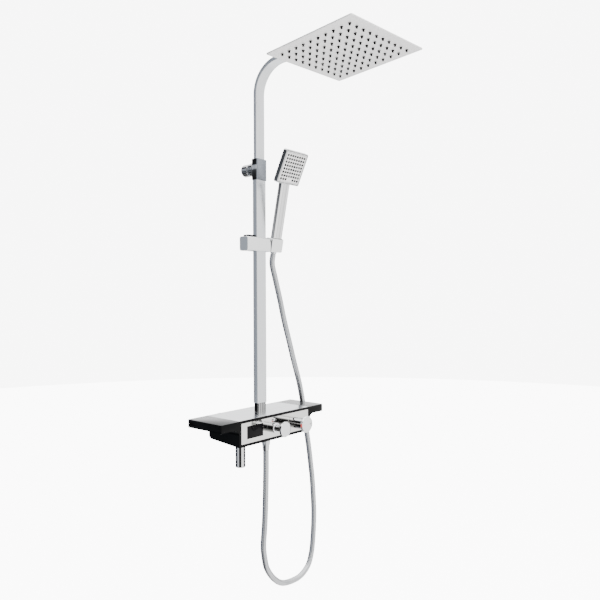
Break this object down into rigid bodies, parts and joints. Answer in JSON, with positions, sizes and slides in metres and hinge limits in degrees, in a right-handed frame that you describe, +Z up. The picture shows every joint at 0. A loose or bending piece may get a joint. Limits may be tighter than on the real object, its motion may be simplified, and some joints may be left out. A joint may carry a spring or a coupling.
{
  "type": "rainfall shower column",
  "caption": "Wall-mounted shower column: shelf mixer with dark screen and knobs, telescopic flat tube with square overhead shower, sliding hand shower on a hose",
  "frame": {"origin": "on the wall plane, on the mixer's centre line at the height of its inlets", "axes": "+X along the wall to the right seen from the room, +Y into the wall, +Z up"},
  "size_m": [0.4298, 0.4502, 1.3515],
  "materials": {
    "chrome": "polished",
    "satin_silver": "satin",
    "gloss_black": "high gloss",
    "screen": "dark, gloss",
    "brass": "machined",
    "grey_plastic": "moulded",
    "black_rubber": "matte",
    "nozzle_rubber": "matte",
    "red_plastic": "gloss",
    "steel": "machined",
    "chromed_plastic": "chrome plated plastic",
    "hose_metal": "metallised spiral",
    "spray_frame": "satin",
    "brass_chromed": "polished chrome over brass"
  },
  "bodies": {
    "column": {"mixer_housing": "gloss_black", "shelf_top_plate": "satin_silver", "faceplate": "chromed_plastic", "display_window": "screen", "display_module": "grey_plastic", "hydro_generator": "grey_plastic", "valve_body": "brass", "thermostatic_cartridge": "brass", "diverter_cartridge": "grey_plastic", "inlet_union_left": "brass", "inlet_union_right": "brass", "inlet_nut_left": "brass_chromed", "inlet_nut_right": "brass_chromed", "wall_rosette_left": "chrome", "wall_rosette_right": "chrome", "check_valve_left": "grey_plastic", "check_valve_right": "grey_plastic", "index_stud": "chrome", "diverter_sleeve": "brass_chromed", "spout_base": "brass_chromed", "spout_ring": "black_rubber", "spout_tube": "brass_chromed", "spout_aerator": "grey_plastic", "hose_outlet": "brass_chromed", "hose_nut_outlet": "brass_chromed", "shower_hose": "hose_metal", "column_collar": "brass_chromed", "collar_screw": "steel", "lower_tube": "chrome", "guide_ring": "grey_plastic", "bracket_sleeve": "chrome", "standoff": "chrome", "wall_core": "steel", "wall_flange": "chrome", "wall_screw": "steel", "bracket_screw": "steel"},
    "riser": {"riser_arm": "chrome", "riser_piston": "black_rubber", "arm_nipple": "brass_chromed"},
    "head_tilt": {"ball_seal": "black_rubber"},
    "head_lean": {"ball_seat": "grey_plastic"},
    "head": {"ball_nut": "brass_chromed", "head_shell": "chrome", "head_plate": "grey_plastic", "head_nozzles": "nozzle_rubber"},
    "slider": {"slider_body": "chromed_plastic", "slider_pad": "black_rubber", "slider_spring": "steel", "pivot_pin": "steel", "pivot_washer": "black_rubber"},
    "slider_button": {"slider_button": "gloss_black"},
    "cradle": {"cradle": "chromed_plastic"},
    "handset": {"handset_body": "chromed_plastic", "handset_frame": "spray_frame", "handset_nozzles": "nozzle_rubber", "hose_nut_handset": "brass_chromed"},
    "diverter": {"diverter_knob": "chrome"},
    "temperature": {"temperature_knob": "chromed_plastic", "temperature_cap": "chromed_plastic"},
    "safety_button": {"safety_button": "red_plastic"}
  },
  "joints": [
    {"name": "riser_height", "type": "slide", "parent": "column", "child": "riser", "axis": [0, 0, 1], "range_m": [-0.14, 0.18]},
    {"name": "head_tilt_front", "type": "hinge", "parent": "riser", "child": "head_tilt", "pos_m": [0.01992, -0.31551, 0.88009], "axis": [1, 0, 0], "range_deg": [-10, 6]},
    {"name": "head_tilt_side", "type": "hinge", "parent": "head_tilt", "child": "head_lean", "pos_m": [0.01992, -0.31551, 0.88009], "axis": [0, 1, 0], "range_deg": [-10, 10]},
    {"name": "head_turn", "type": "hinge", "parent": "head_lean", "child": "head", "pos_m": [0.01992, -0.31551, 0.88009], "axis": [0.0013, 0.0403, 0.9992], "continuous": true},
    {"name": "slider_height", "type": "slide", "parent": "column", "child": "slider", "axis": [0, 0, 1], "range_m": [-0.3, 0.13], "deforming": ["shower_hose"]},
    {"name": "slider_release", "type": "slide", "parent": "slider", "child": "slider_button", "axis": [0, 0, -1], "range_m": [0, 0.003], "stiffness_N_per_m": 600, "springref_m": -0.002, "deforming": ["slider_spring"]},
    {"name": "cradle_tilt", "type": "hinge", "parent": "slider", "child": "cradle", "pos_m": [0.0695, -0.0495, 0.446], "axis": [1, 0, 0], "range_deg": [-9, 30], "deforming": ["shower_hose"]},
    {"name": "handset_lift", "type": "slide", "parent": "cradle", "child": "handset", "axis": [0, -0.2045, 0.9789], "range_m": [0, 0.036], "deforming": ["shower_hose"]},
    {"name": "diverter_turn", "type": "hinge", "parent": "column", "child": "diverter", "pos_m": [-0.0217, -0.1236, 0.0018], "axis": [0, -1, 0], "range_deg": [-90, 90]},
    {"name": "temperature_turn", "type": "hinge", "parent": "column", "child": "temperature", "pos_m": [0.0559, -0.1236, 0.0018], "axis": [0, -1, 0], "range_deg": [-80, 200]},
    {"name": "safety_press", "type": "slide", "parent": "temperature", "child": "safety_button", "axis": [1, 0, 0], "range_m": [0, 0.0015], "stiffness_N_per_m": 400, "springref_m": -0.001}
  ]
}
